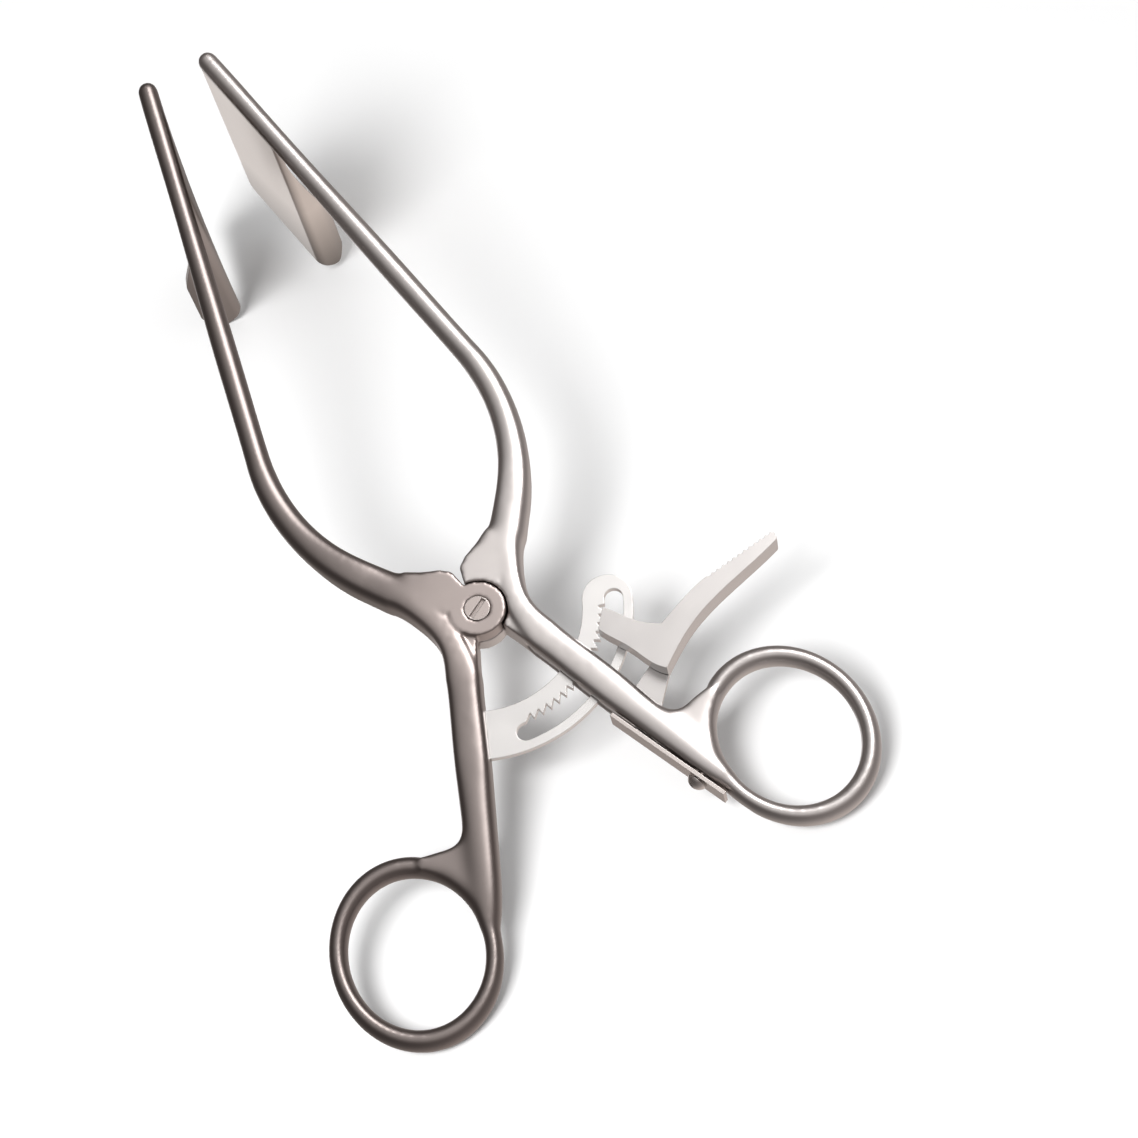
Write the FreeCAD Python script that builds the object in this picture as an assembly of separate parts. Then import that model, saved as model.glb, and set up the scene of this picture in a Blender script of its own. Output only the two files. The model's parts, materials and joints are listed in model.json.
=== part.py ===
import FreeCAD, Part
import math
import os

# Vaginal retractor: two forged halves on one pivot, a blade under each rod, a toothed rack and a release lever.
# It is built in the instrument's own frame: pivot axis on Z, mid plane at Z = 0, +Y towards the blade tips,
# right half at +X. At the end everything is tilted so that it stands on its rings and its blade lips.
V = FreeCAD.Vector
Z_AXIS = V(0, 0, 1)

# Forgings: lap joint
JOINT_T = 8.0
DISC_R = 5.8
LAP_CLEAR = 0.12
RIM_CLEAR = 0.3
SHOULDER_GAP = 0.3
WAIST_W = 5.6

# Forgings: rod, bow and shank, along the spine from the tip
ROD_TIP_W = 4.3
ROD_W = 5.2
ROD_LEAN = 10.3
ROD_L = 96.4
BOW_START_X = 24.6
BOW_START_Y = 54.2
BOW_R = 48.0
BOW_TURN = 46.7
BOW_END_W = 7.6
NECK_L = 5.5
WAIST_R = 26.0
WAIST_TURN = 57.7
SHANK_W = 7.0
SHANK_END_W = 6.4
SHANK_T = 7.4
LEFT_SHANK_L = 50.4
RIGHT_SHANK_L = 47.1

# Forgings: finger rings
RING_LONG = 30.7
RING_WIDE = 26.3
RING_BAND = 3.7
RING_T = 5.2
RING_SWING = 9.0
RING_MEET = 91.0

# Blades
BLADE_L = 28.3
RIGHT_BLADE_DEPTH = 52.0
LEFT_BLADE_DEPTH = 54.0
BLADE_T = 1.2
BLADE_INSET = 2.0
LEFT_TIP_LEAN = 3.4
LEFT_CREASE_LEAN = 0.0
RIGHT_TIP_LEAN = 0.0
RIGHT_CREASE_LEAN = 0.0
BLADE_CORNER = 2.0
LIP_BEND_R = 1.3
LEFT_LIP_FLAT = 4.4
RIGHT_LIP_FLAT = 2.2
LIP_CURL_TURN = 28.0
LIP_CURL_R = 3.0
LIP_END = 1.7
LIP_DROP = 3.5
LIP_TOP = 8.0

# Rack, concentric with the pivot
RACK_T = 1.4
RACK_IN_R = 20.85
RACK_OUT_R = 31.0
SLOT_OUT_R = 29.1
CREST_R = 25.3
TOOTH_DEPTH = 1.35
TOOTH_PITCH = 4.4
NOTCHES = 16
LAST_NOTCH = -26.0
LOOP_ANGLE = -22.5
SLOT_ROOT_ANGLE = -97.0
TENON_DEPTH = 4.4
TENON_CLEAR = 0.02

# Slot through the right shank, measured along the shank's straight
SLOT_CLEAR = 0.25
SLOT_FROM = -3.0
SLOT_TO = 33.0

# Release lever and its pin
PIN_R = 1.2
PIN_AT = 24.0
PIN_OFF = 0.4
PIN_CLEAR = 0.05
LEVER_TOP = 4.75
SEAT_TURN = 2.5
SEATED_BITE = 0.5
PAWL_TEETH = 2
PAWL_NOTCH = 2
NOSE_DEPTH = 1.15
TAIL_BACK = 3.4
SERRATIONS = 12
SERRATION_R = 0.45

# Leaf spring and its screw
LEAF_T = 0.8
LEAF_W = 5.0
LEAF_L = 28.0
LEAF_LEAN = 2.95
SCREW_AT = 42.0
LEAF_PAST_SCREW = 6.5
LEAF_SEAT_GAP = 0.3
LEAF_HEAD_GAP = 0.3
LEAF_TAIL_GAP = 0.15
SCREW_HEAD_R = 2.1
SCREW_HEAD_H = 1.5
SCREW_SHAFT_R = 1.0
SCREW_DEPTH = 4.0
SCREW_HOLE_CLEAR = 0.35

# Pivot screw
PIVOT_R = 1.75
PIVOT_HEAD_R = 2.6
PIVOT_HEAD_H = 1.5
PIVOT_FOOT_R = 2.4
PIVOT_CLEAR = 0.05
DRIVE_W = 0.9
DRIVE_DEPTH = 0.8
DRIVE_ANGLE = 29.0
DRIVE_L = 4.6

# Rivets through the rack's tenon
RIVET_R = 0.9
RIVET_IN = 2.6
RIVET_END = 0.8

# Construction details
SECTION_POINTS = 20
FLAT_SQUARE = 4.6
HEEL_ANGLE = -60.0
HEEL_SHARE = 0.8
HEEL_END = 1.5
HEEL_IN = 0.3
TIP_INSET = 0.3
WEB_SHARE = 1.12
TIP_STEP = 0.04
TENON_END_ANGLE = -130.0
BLADE_START = 0.4
CUT_REACH = 40.0
CUT_PAST = 9.0
STEM_CLEAR = 0.9
NOSE_START = 1.05
NOSE_FROM = -41.0
NOSE_TO = -30.5
HALF_T = JOINT_T / 2


def polar(radius, degrees, z=0.0):
    a = math.radians(degrees)
    return V(radius * math.cos(a), radius * math.sin(a), z)


def prism(points, low, high):
    """Upright prism over a closed polygon of (x, y) points."""
    corners = [V(x, y, low) for x, y in points]
    wire = Part.makePolygon(corners + corners[:1])
    return Part.Face(wire).extrude(V(0, 0, high - low))


def cylinder(radius, low, high, x=0.0, y=0.0):
    return Part.makeCylinder(radius, high - low, V(x, y, low), Z_AXIS)


def mirrored(shape, side):
    """The shape itself for the right half (side +1), its mirror image for the left half (side -1)."""
    if side > 0:
        return shape
    return shape.mirror(V(0, 0, 0), V(1, 0, 0))


class Spine:
    """Centre line of a forging, followed from the blade tip through bow and waist to the end of the shank."""

    def __init__(self, shank_length):
        self.legs = [
            (ROD_L, 0.0),
            (BOW_R * math.radians(BOW_TURN), -1.0 / BOW_R),
            (NECK_L, 0.0),
            (WAIST_R * math.radians(WAIST_TURN), 1.0 / WAIST_R),
            (shank_length, 0.0),
        ]
        lean = math.radians(ROD_LEAN)
        self.start = (BOW_START_X - ROD_L * math.sin(lean), BOW_START_Y + ROD_L * math.cos(lean), lean - math.pi / 2)

    def at(self, distance):
        """Place and heading (radians) at a distance from the tip."""
        x, y, heading = self.start
        left = distance
        for length, bend in self.legs:
            step = min(left, length)
            if bend == 0.0:
                x += step * math.cos(heading)
                y += step * math.sin(heading)
            else:
                turned = heading + step * bend
                x += (math.sin(turned) - math.sin(heading)) / bend
                y -= (math.cos(turned) - math.cos(heading)) / bend
                heading = turned
            left -= step
            if left <= 0:
                break
        return x, y, heading

    def leg_end(self, count):
        return sum(length for length, bend in self.legs[:count])


SPINE = Spine(RIGHT_SHANK_L)
ROD_END = SPINE.leg_end(1)
BOW_END = SPINE.leg_end(2)
NECK_END = SPINE.leg_end(3)
WAIST_END = SPINE.leg_end(4)


def section(x, y, heading, width, thick, square):
    """Closed superellipse across the spine, square = 2 is an ellipse and more is boxier."""
    points = []
    for i in range(SECTION_POINTS):
        a = 2 * math.pi * (i + 0.5) / SECTION_POINTS
        c, s = math.cos(a), math.sin(a)
        across = width / 2 * math.copysign(abs(c) ** (2 / square), c)
        up = thick / 2 * math.copysign(abs(s) ** (2 / square), s)
        points.append(V(x - math.sin(heading) * across, y + math.cos(heading) * across, up))
    curve = Part.BSplineCurve()
    curve.interpolate(Points=points, PeriodicFlag=True)
    return Part.Wire(curve.toShape())


def stations(shank_length):
    """Distance, width, thickness and squareness of the forging's sections, from the tip to the shank's end."""
    return [
        (0.0, ROD_TIP_W, ROD_TIP_W, 2.0),
        (ROD_END * 0.35, ROD_TIP_W + 0.1, ROD_TIP_W, 2.0),
        (ROD_END * 0.7, ROD_W - 0.1, ROD_W - 0.2, 2.0),
        (ROD_END, ROD_W, ROD_W + 0.1, 2.1),
        (ROD_END + 18.0, ROD_W + 0.8, ROD_W + 1.0, 2.4),
        (BOW_END - 8.0, BOW_END_W - 1.0, JOINT_T - 0.7, 3.2),
        (NECK_END, BOW_END_W + 0.2, JOINT_T, FLAT_SQUARE - 1.0),
        (NECK_END + 8.0, WAIST_W + 1.0, JOINT_T, FLAT_SQUARE),
        (NECK_END + 16.0, WAIST_W, JOINT_T, FLAT_SQUARE),
        (WAIST_END, SHANK_W, JOINT_T, FLAT_SQUARE),
        (WAIST_END + shank_length * 0.4, SHANK_W, JOINT_T, FLAT_SQUARE),
        (WAIST_END + shank_length * 0.75, SHANK_END_W, SHANK_T, FLAT_SQUARE - 0.5),
        (WAIST_END + shank_length, RING_BAND + 0.4, RING_T, 2.4),
    ]


def section_at(distance, shank_length):
    """Section of the forging at a distance from the tip, blended between the stations on both sides."""
    table = stations(shank_length)
    for before, after in zip(table, table[1:]):
        if distance <= after[0] + 1e-6:
            break
    share = (distance - before[0]) / (after[0] - before[0])
    share = share * share * (3 - 2 * share) if share < 1 else 1.0
    sizes = [p + (q - p) * share for p, q in zip(before[1:], after[1:])]
    return section(*Spine(shank_length).at(distance), *sizes)


def bar_along_spine(shank_length):
    """Rod, bow, waist and shank as one solid, a run of smooth lengths."""
    pieces = []
    start = 0.0
    for end, count in ((ROD_END, 6), (BOW_END, 5), (NECK_END, 2), (WAIST_END, 6), (WAIST_END + shank_length, 6)):
        wires = [section_at(start + (end - start) * i / (count - 1), shank_length) for i in range(count)]
        pieces.append(Part.makeLoft(wires, True, False))
        start = end
    return pieces[0].fuse(pieces[1:])


def shank_frame():
    """Start of the shank's straight, its direction and the direction across it, away from the other shank."""
    x, y, heading = SPINE.at(WAIST_END)
    along = V(math.cos(heading), math.sin(heading), 0)
    return V(x, y, 0), along, V(-math.sin(heading), math.cos(heading), 0)


def on_shank(along, across, z=0.0):
    start, line, out = shank_frame()
    return start + line * along + out * across + V(0, 0, z)


def ring_centre(shank_length):
    """The shank's end lies on the band's middle line, RING_MEET degrees off the ring's long way."""
    swing = math.radians(RING_SWING)
    meet = math.radians(RING_MEET)
    long_way = V(math.sin(swing), -math.cos(swing), 0)
    side_way = V(math.cos(swing), math.sin(swing), 0)
    half_long = (RING_LONG + RING_BAND) / 2
    half_wide = (RING_WIDE + RING_BAND) / 2
    return on_shank(shank_length, 0) + long_way * (half_long * math.cos(meet)) + side_way * (half_wide * math.sin(meet))


def finger_ring(shank_length):
    """Oval band with a rounded section: a torus stretched along the ring's long way and upwards."""
    torus = Part.makeTorus(1.0 + RING_BAND / RING_WIDE, RING_BAND / RING_WIDE)
    grow = FreeCAD.Matrix()
    grow.scale(RING_WIDE / 2, RING_LONG / 2, RING_WIDE / 2 * RING_T / RING_BAND)
    ring = torus.transformGeometry(grow)
    ring.rotate(V(0, 0, 0), Z_AXIS, RING_SWING)
    ring.translate(ring_centre(shank_length))
    return ring


def ring_hole(grow, shank_length):
    """Upright oval cylinder in the ring's hole."""
    centre = ring_centre(shank_length)
    swing = math.radians(RING_SWING)
    long_way = V(math.sin(swing), -math.cos(swing), 0)
    side_way = V(math.cos(swing), math.sin(swing), 0)
    low = V(0, 0, -JOINT_T)
    oval = Part.Ellipse(
        centre + low + long_way * (RING_LONG / 2 + grow), centre + low + side_way * (RING_WIDE / 2 + grow), centre + low
    )
    return Part.Face(Part.Wire(oval.toShape())).extrude(V(0, 0, 2 * JOINT_T))


def ring_web(shank_length):
    """Solid corner between shank and ring on the outer side of the shank, with a hollow rounded edge."""
    thick = RING_T / 2 * WEB_SHARE
    edge = SHANK_W / 2
    start = [(-23.0, 0.0), (-23.0, edge - 0.5)]
    hollow = [
        (-23.0, edge - 0.5),
        (-20.0, edge - 0.1),
        (-18.1, edge + 0.5),
        (-16.8, edge + 1.8),
        (-16.4, edge + 3.6),
        (-16.0, edge + 6.0),
        (-15.2, edge + 9.0),
    ]
    rest = [(-12.0, edge + 9.0), (-1.0, edge + 2.0), (-1.0, 0.0), (-23.0, 0.0)]
    runs = [start, hollow] + [[hollow[-1], rest[0]]] + [list(pair) for pair in zip(rest, rest[1:])]
    placed = []
    for run in runs:
        points = [on_shank(shank_length + along, across) for along, across in run]
        placed.append([(p.x, p.y) for p in points])
    return outline(placed, -thick, thick).cut(ring_hole(RING_BAND * 0.25, shank_length))


def shoulder():
    """Corner of the joint that meets the other half when the blades are together."""
    gap = SHOULDER_GAP / 2
    points = [
        (gap, DISC_R * 0.6),
        (gap, DISC_R + 0.2),
        (gap + 0.7, DISC_R + 4.0),
        (gap + 2.6, DISC_R + 5.6),
        (gap + 5.1, DISC_R + 6.8),
        (gap + 9.6, DISC_R + 9.6),
        (gap + 11.0, DISC_R + 5.0),
        (gap + 6.0, DISC_R * 0.4),
        (gap + 3.0, DISC_R * 0.4),
    ]
    return prism(points, -HALF_T, HALF_T)


def heel():
    """Straight inner side between the lap disc and the shank."""
    low_end = on_shank(HEEL_END, -SHANK_W / 2 + HEEL_IN)
    corners = [polar(DISC_R, HEEL_ANGLE), low_end, on_shank(HEEL_END, 0), polar(DISC_R, 0)]
    return prism([(q.x, q.y) for q in corners], -HALF_T * HEEL_SHARE, HALF_T * HEEL_SHARE)


def forging(side):
    """One half: rod, bow, joint, shank and ring. The left half's lap disc is the upper one."""
    tip_x, tip_y, heading = SPINE.at(TIP_INSET)
    tip = Part.makeSphere(ROD_TIP_W / 2 - TIP_STEP, V(tip_x, tip_y, 0))
    length = RIGHT_SHANK_L if side > 0 else LEFT_SHANK_L
    body = bar_along_spine(length).fuse([tip, finger_ring(length), ring_web(length), shoulder(), heel()])
    body = mirrored(body, side)
    pocket = DISC_R + RIM_CLEAR
    if side < 0:
        body = body.fuse(cylinder(DISC_R, 0, HALF_T))
        body = body.cut(cylinder(pocket, -HALF_T - 1, LAP_CLEAR))
        body = body.cut(cylinder(PIVOT_R, -HALF_T - 1, HALF_T + 1))
        body = body.cut(cylinder(PIVOT_HEAD_R, HALF_T - PIVOT_HEAD_H, HALF_T + 1))
        body = body.cut(tenon(TENON_CLEAR))
        body = body.cut([cylinder(RIVET_R, -rivet_half(), rivet_half(), x, y) for x, y in rivet_spots()])
    else:
        body = body.fuse(cylinder(DISC_R, -HALF_T, 0))
        body = body.cut(cylinder(pocket, 0, HALF_T + 1))
        body = body.cut(cylinder(PIVOT_R + PIVOT_CLEAR, -HALF_T - 1, HALF_T + 1))
        body = body.cut(pivot_foot(PIVOT_CLEAR))
        body = body.cut(shank_slot())
        body = body.cut(lever_pin())
        body = body.cut([leaf_seat(), leaf_screw_shaft(0.0)])
    return body


def pivot_foot(spread=0.0):
    """Spread lower end of the pivot screw, a flush cone."""
    height = PIVOT_FOOT_R - PIVOT_R
    return Part.makeCone(PIVOT_FOOT_R + spread, PIVOT_R + spread, height + spread, V(0, 0, -HALF_T), Z_AXIS)


def pivot_screw():
    screw = cylinder(PIVOT_R, -HALF_T, HALF_T - PIVOT_HEAD_H)
    head = cylinder(PIVOT_HEAD_R, HALF_T - PIVOT_HEAD_H, HALF_T)
    drive = Part.makeBox(DRIVE_L, DRIVE_W, DRIVE_DEPTH + 1)
    drive.translate(V(-DRIVE_L / 2, -DRIVE_W / 2, HALF_T - DRIVE_DEPTH))
    drive.rotate(V(0, 0, 0), Z_AXIS, DRIVE_ANGLE)
    return screw.fuse([head, pivot_foot()]).cut(drive).removeSplitter()


def sector(inner, outer, start, end, low, high):
    """Part of a flat ring between two radii and two angles in degrees."""
    a = Part.makeCylinder(outer, high - low, V(0, 0, low), Z_AXIS, end - start)
    b = Part.makeCylinder(inner, high - low + 2, V(0, 0, low - 1), Z_AXIS, 360)
    a.rotate(V(0, 0, 0), Z_AXIS, start)
    return a.cut(b)


def notch(angle, low, high):
    """One gap between two ratchet teeth: long flank towards the rack's root, steep flank towards its free end."""
    root_r = CREST_R - TOOTH_DEPTH
    beyond = CREST_R + 0.4
    points = [
        polar(beyond, angle - 0.86 * TOOTH_PITCH),
        polar(CREST_R, angle - 0.78 * TOOTH_PITCH),
        polar(root_r, angle - 0.05 * TOOTH_PITCH),
        polar(root_r, angle + 0.03 * TOOTH_PITCH),
        polar(CREST_R, angle + 0.16 * TOOTH_PITCH),
        polar(beyond, angle + 0.18 * TOOTH_PITCH),
    ]
    return prism([(p.x, p.y) for p in points], low, high)


def rack_bar(clear):
    """Flat curved bar from inside the left shank to the rounded free end."""
    low = -RACK_T / 2 - clear
    high = RACK_T / 2 + clear
    middle = (RACK_IN_R + RACK_OUT_R) / 2
    end = polar(middle, LOOP_ANGLE)
    bar = sector(RACK_IN_R - clear, RACK_OUT_R + clear, TENON_END_ANGLE, LOOP_ANGLE, low, high)
    return bar.fuse(cylinder((RACK_OUT_R - RACK_IN_R) / 2 + clear, low, high, end.x, end.y))


def left_of_tenon_end(clear):
    """Everything on the inner side of the tenon's end face in the left shank."""
    depth = TENON_DEPTH - SHANK_W / 2 + clear
    corners = [on_shank(-20, depth), on_shank(60, depth), on_shank(60, -90), on_shank(-20, -90)]
    return prism([(-q.x, q.y) for q in corners], -JOINT_T, JOINT_T)


def tenon(clear):
    """Blank of the rack's end in the left shank."""
    return rack_bar(clear).common(left_of_tenon_end(clear))


def ratchet_rack():
    low = -RACK_T / 2 - 1
    high = RACK_T / 2 + 1
    slot = sector(CREST_R, SLOT_OUT_R, SLOT_ROOT_ANGLE, LOOP_ANGLE, low, high)
    for angle in (SLOT_ROOT_ANGLE, LOOP_ANGLE):
        spot = polar((SLOT_OUT_R + CREST_R) / 2, angle)
        slot = slot.fuse(cylinder((SLOT_OUT_R - CREST_R) / 2, low, high, spot.x, spot.y))
    notches = [notch(LAST_NOTCH - i * TOOTH_PITCH, low, high) for i in range(NOTCHES)]
    holes = [cylinder(RIVET_R, low, high, x, y) for x, y in rivet_spots()]
    return tenon(0.0).cut(slot).cut(notches + holes).removeSplitter()


def rivet_half():
    return HALF_T - RIVET_END


def rivet_spots():
    """Places of the two rivets in the left shank, as (x, y)."""
    start = shank_frame()[0]
    across = TENON_DEPTH * 0.55 - SHANK_W / 2
    radii = (RACK_IN_R + RIVET_IN, RACK_OUT_R - RIVET_IN)
    spots = [on_shank(radius - start.Length, across) for radius in radii]
    return [(-p.x, p.y) for p in spots]


def rack_rivets():
    return Part.makeCompound([cylinder(RIVET_R, -rivet_half(), rivet_half(), x, y) for x, y in rivet_spots()])


def shank_slot():
    """Level slot right through the right shank, for the rack and for the lever's tang."""
    half = RACK_T / 2 + SLOT_CLEAR
    corners = [on_shank(SLOT_FROM, -12), on_shank(SLOT_TO, -12), on_shank(SLOT_TO, 12), on_shank(SLOT_FROM, 12)]
    return prism([(q.x, q.y) for q in corners], -half, half)


def lever_pin():
    spot = on_shank(PIN_AT, PIN_OFF)
    return cylinder(PIN_R, -rivet_half(), rivet_half(), spot.x, spot.y)


def turned_on_pin(shape, degrees):
    """The shape turned about the lever's pin, positive is anticlockwise seen from above."""
    turned = shape.copy()
    turned.rotate(on_shank(PIN_AT, PIN_OFF), Z_AXIS, degrees)
    return turned


def outline(stretches, low, high):
    """Upright solid over a closed outline: two points give a straight line, more give a smooth curve."""
    edges = []
    for stretch in stretches:
        points = [V(x, y, low) for x, y in stretch]
        if len(points) == 2:
            edges.append(Part.makeLine(points[0], points[1]))
        else:
            curve = Part.BSplineCurve()
            curve.interpolate(points)
            edges.append(curve.toShape())
    return Part.Face(Part.Wire(edges)).extrude(V(0, 0, high - low))


def pawl_tooth(angle, low, high):
    """Tooth that fills part of a notch when the lever is seated, turned back to the lever's resting place."""
    tip = CREST_R - SEATED_BITE
    base = CREST_R + 1.6
    points = [
        polar(base, angle - 0.62 * TOOTH_PITCH),
        polar(tip, angle - 0.14 * TOOTH_PITCH),
        polar(tip, angle - 0.04 * TOOTH_PITCH),
        polar(base, angle - 0.02 * TOOTH_PITCH),
    ]
    return turned_on_pin(prism([(p.x, p.y) for p in points], low, high), -SEAT_TURN)


def release_lever():
    """Flat lever over the rack: nose with the pawl, thumb arm with serrations, tang through the shank's slot."""
    over_rack = RACK_T / 2 + SLOT_CLEAR
    under = -RACK_T / 2
    nose_low, nose_high = [(p.x, p.y) for p in (polar(CREST_R - 0.14, -41.3), polar(CREST_R + 0.03, -30.6))]
    cheek_low, cheek_high = [(p.x, p.y) for p in (polar(CREST_R + 2.7, -43.6), polar(CREST_R + 3.9, -33.7))]
    root_low = (26.8, -30.7)
    thumb_low = (58.7, -17.6)
    thumb_high = (58.3, -15.6)
    pad_start = (42.7, -17.6)
    corner = (30.3, -21.9)
    body = outline(
        [
            [nose_high, nose_low],
            [nose_low, cheek_low, (22.3, -22.7), (23.7, -25.9), (25.0, -28.6), root_low],
            [root_low, (31.1, -27.6), (35.6, -24.9), (40.6, -22.8), (48.8, -20.4), thumb_low],
            [thumb_low, (59.2, -16.5), thumb_high],
            [thumb_high, pad_start],
            [pad_start, (39.8, -18.3), (34.0, -20.4), corner],
            [corner, (28.2, -20.5), (25.9, -18.4), cheek_high, nose_high],
        ],
        over_rack,
        LEVER_TOP,
    )
    stem = outline(
        [
            [root_low, (31.1, -27.6), (35.6, -24.9), (40.6, -22.8), (48.8, -20.4), thumb_low],
            [thumb_low, (59.2, -16.5), thumb_high],
            [thumb_high, pad_start],
            [pad_start, (39.8, -18.3), (34.0, -20.4), corner],
            [corner, (28.0, -23.6), root_low],
        ],
        under,
        over_rack,
    )
    stem = stem.cut(cylinder(RACK_OUT_R + STEM_CLEAR, under - 1, over_rack))
    nose = sector(CREST_R + NOSE_START, CREST_R + NOSE_START + NOSE_DEPTH, NOSE_FROM, NOSE_TO, under, over_rack)
    teeth = [
        pawl_tooth(LAST_NOTCH - (PAWL_NOTCH + i) * TOOTH_PITCH, under, over_rack) for i in range(PAWL_TEETH)
    ]
    start, line, out = shank_frame()
    pin = on_shank(PIN_AT, PIN_OFF)
    tail_along = PIN_AT + TAIL_BACK
    tail = on_shank(tail_along, LEAF_TAIL_GAP - leaf_face_off_shank(tail_along))
    tail_low = pin + line * (TAIL_BACK + 2.2)
    tang_points = [
        tail,
        pin - out * 2.0 - line * 2.2,
        pin + out * 3.0 - line * 4.0,
        V(25.4, -26.6, 0),
        V(28.2, -27.0, 0),
        V(root_low[0] + 0.6, root_low[1] + 0.6, 0),
        pin + out * 3.6 + line * 2.4,
        tail_low,
        tail + line * 1.2,
    ]
    tang = prism([(p.x, p.y) for p in tang_points], under, -under)
    lever = body.fuse([stem, nose, tang] + teeth)
    lever = lever.cut(cylinder(PIN_R + PIN_CLEAR, under - 1, over_rack + 1, pin.x, pin.y))
    run = V(thumb_high[0] - pad_start[0], thumb_high[1] - pad_start[1], 0)
    for i in range(SERRATIONS):
        share = (i + 0.6) / SERRATIONS
        spot = V(pad_start[0], pad_start[1], 0) + run * share
        lever = lever.cut(cylinder(SERRATION_R, under - 1, LEVER_TOP + 1, spot.x, spot.y + 0.12))
    return lever.removeSplitter()


def leaf_frame():
    """Middle of the leaf at its screw, the leaf's direction to the free end, and the direction into the shank."""
    start, line, out = shank_frame()
    lean = math.radians(LEAF_LEAN)
    to_free = V(-line.x * math.cos(lean) - out.x * math.sin(lean), -line.y * math.cos(lean) - out.y * math.sin(lean), 0)
    inward = V(-to_free.y, to_free.x, 0)
    if inward.dot(out) < 0:
        inward = inward * -1.0
    spot = on_shank(SCREW_AT, -shank_half_width_at_screw()) - inward * (LEAF_SEAT_GAP + LEAF_T / 2)
    return spot, to_free, inward


def shank_half_width_at_screw():
    return (SHANK_END_W + RING_BAND) / 4


def leaf_face_off_shank(along):
    """How far the leaf's shank-side face is from the shank's middle line, at a distance along the shank."""
    rise = math.tan(math.radians(LEAF_LEAN)) * (SCREW_AT - along)
    return shank_half_width_at_screw() + LEAF_SEAT_GAP + rise


def box_on_leaf(along_from, along_to, in_from, in_to, half_height):
    """Box in the leaf's own directions, along the leaf, into the shank and upwards."""
    spot, along, inward = leaf_frame()
    corners = [
        spot + along * along_from + inward * in_from,
        spot + along * along_to + inward * in_from,
        spot + along * along_to + inward * in_to,
        spot + along * along_from + inward * in_to,
    ]
    return prism([(q.x, q.y) for q in corners], -half_height, half_height)


def leaf_screw_shaft(spread):
    spot, along, inward = leaf_frame()
    length = LEAF_T + LEAF_SEAT_GAP + LEAF_HEAD_GAP + SCREW_DEPTH
    head = spot - inward * (LEAF_T / 2 + LEAF_HEAD_GAP)
    return Part.makeCylinder(SCREW_SHAFT_R + spread, length, head, inward)


def leaf_seat():
    """Flat on the shank behind the leaf."""
    return box_on_leaf(-LEAF_PAST_SCREW - 6, LEAF_L, -6, LEAF_T / 2 + LEAF_SEAT_GAP, JOINT_T)


def leaf_spring():
    leaf = box_on_leaf(-LEAF_PAST_SCREW, LEAF_L - LEAF_PAST_SCREW, -LEAF_T / 2, LEAF_T / 2, LEAF_W / 2)
    return leaf.cut(leaf_screw_shaft(SCREW_HOLE_CLEAR))


def spring_screw():
    spot, along, inward = leaf_frame()
    base = spot - inward * (LEAF_T / 2 + LEAF_HEAD_GAP)
    ball_r = (SCREW_HEAD_R ** 2 + SCREW_HEAD_H ** 2) / (2 * SCREW_HEAD_H)
    ball = Part.makeSphere(ball_r, base + inward * (ball_r - SCREW_HEAD_H))
    head = ball.common(Part.makeCylinder(SCREW_HEAD_R, SCREW_HEAD_H, base, inward * -1.0))
    drive = Part.makeBox(DRIVE_W * 0.7, 2 * SCREW_HEAD_R + 1, 1.0)
    drive.translate(V(-DRIVE_W * 0.35, -SCREW_HEAD_R - 0.5, 0))
    top = base - inward * (SCREW_HEAD_H - 0.55)
    turn = FreeCAD.Rotation(Z_AXIS, inward * -1.0)
    drive.Placement = FreeCAD.Placement(top, turn)
    return head.fuse(leaf_screw_shaft(0.0)).cut(drive).removeSplitter()


class BladeFrame:
    """Directions of the right blade: along the rod from its tip, outwards, and down."""

    def __init__(self):
        x, y, heading = SPINE.at(0.0)
        self.tip = V(x, y, 0)
        self.along = V(math.cos(heading), math.sin(heading), 0)
        self.out = V(-math.sin(heading), math.cos(heading), 0)

    def point(self, along, out, z, lean=0.0):
        """A place on the blade, leaned outwards by some degrees about the plate's top edge."""
        pivot = BLADE_T / 2 - BLADE_INSET
        a = math.radians(lean)
        leaned_out = pivot + (out - pivot) * math.cos(a) - z * math.sin(a)
        leaned_z = (out - pivot) * math.sin(a) + z * math.cos(a)
        return self.tip + self.along * along + self.out * leaned_out + V(0, 0, leaned_z)


def blade_plate(depth, tip_lean, crease_lean):
    """Thin plate between an end at the tip and an end at the crease, each with its own outward lean."""
    frame = BladeFrame()
    inner = -BLADE_INSET
    wires = []
    for along, lean in ((BLADE_START, tip_lean), (BLADE_L - LIP_BEND_R, crease_lean)):
        corners = [
            frame.point(along, inner, 0, lean),
            frame.point(along, inner + BLADE_T, 0, lean),
            frame.point(along, inner + BLADE_T, -depth, lean),
            frame.point(along, inner, -depth, lean),
        ]
        wires.append(Part.makePolygon(corners + corners[:1]))
    plate = Part.makeLoft(wires, True, True)
    return plate.cut(blade_corner(depth))


def blade_corner(depth):
    """What is taken off to round the lower corner at the tip."""
    frame = BladeFrame()
    near, far = BLADE_START - CUT_PAST, BLADE_START + BLADE_CORNER
    high, deep = -depth + BLADE_CORNER, -depth - CUT_PAST
    corners = [(near, high), (far, high), (far, deep), (near, deep), (near, high)]
    block = Part.makePolygon([frame.point(along, -CUT_REACH, z) for along, z in corners])
    block = Part.Face(block).extrude(frame.out * (2 * CUT_REACH))
    spot = frame.point(far, -CUT_REACH, high)
    return block.cut(Part.makeCylinder(BLADE_CORNER, 2 * CUT_REACH, spot, frame.out))


def lip_walk(flat):
    """Middle line of the bent lip in plan, as lengths and bends, from the crease outwards."""
    return [
        (LIP_BEND_R * math.pi / 2, 1.0 / LIP_BEND_R),
        (flat, 0.0),
        (LIP_CURL_R * math.radians(LIP_CURL_TURN), 1.0 / LIP_CURL_R),
        (LIP_END, 0.0),
    ]


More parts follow.
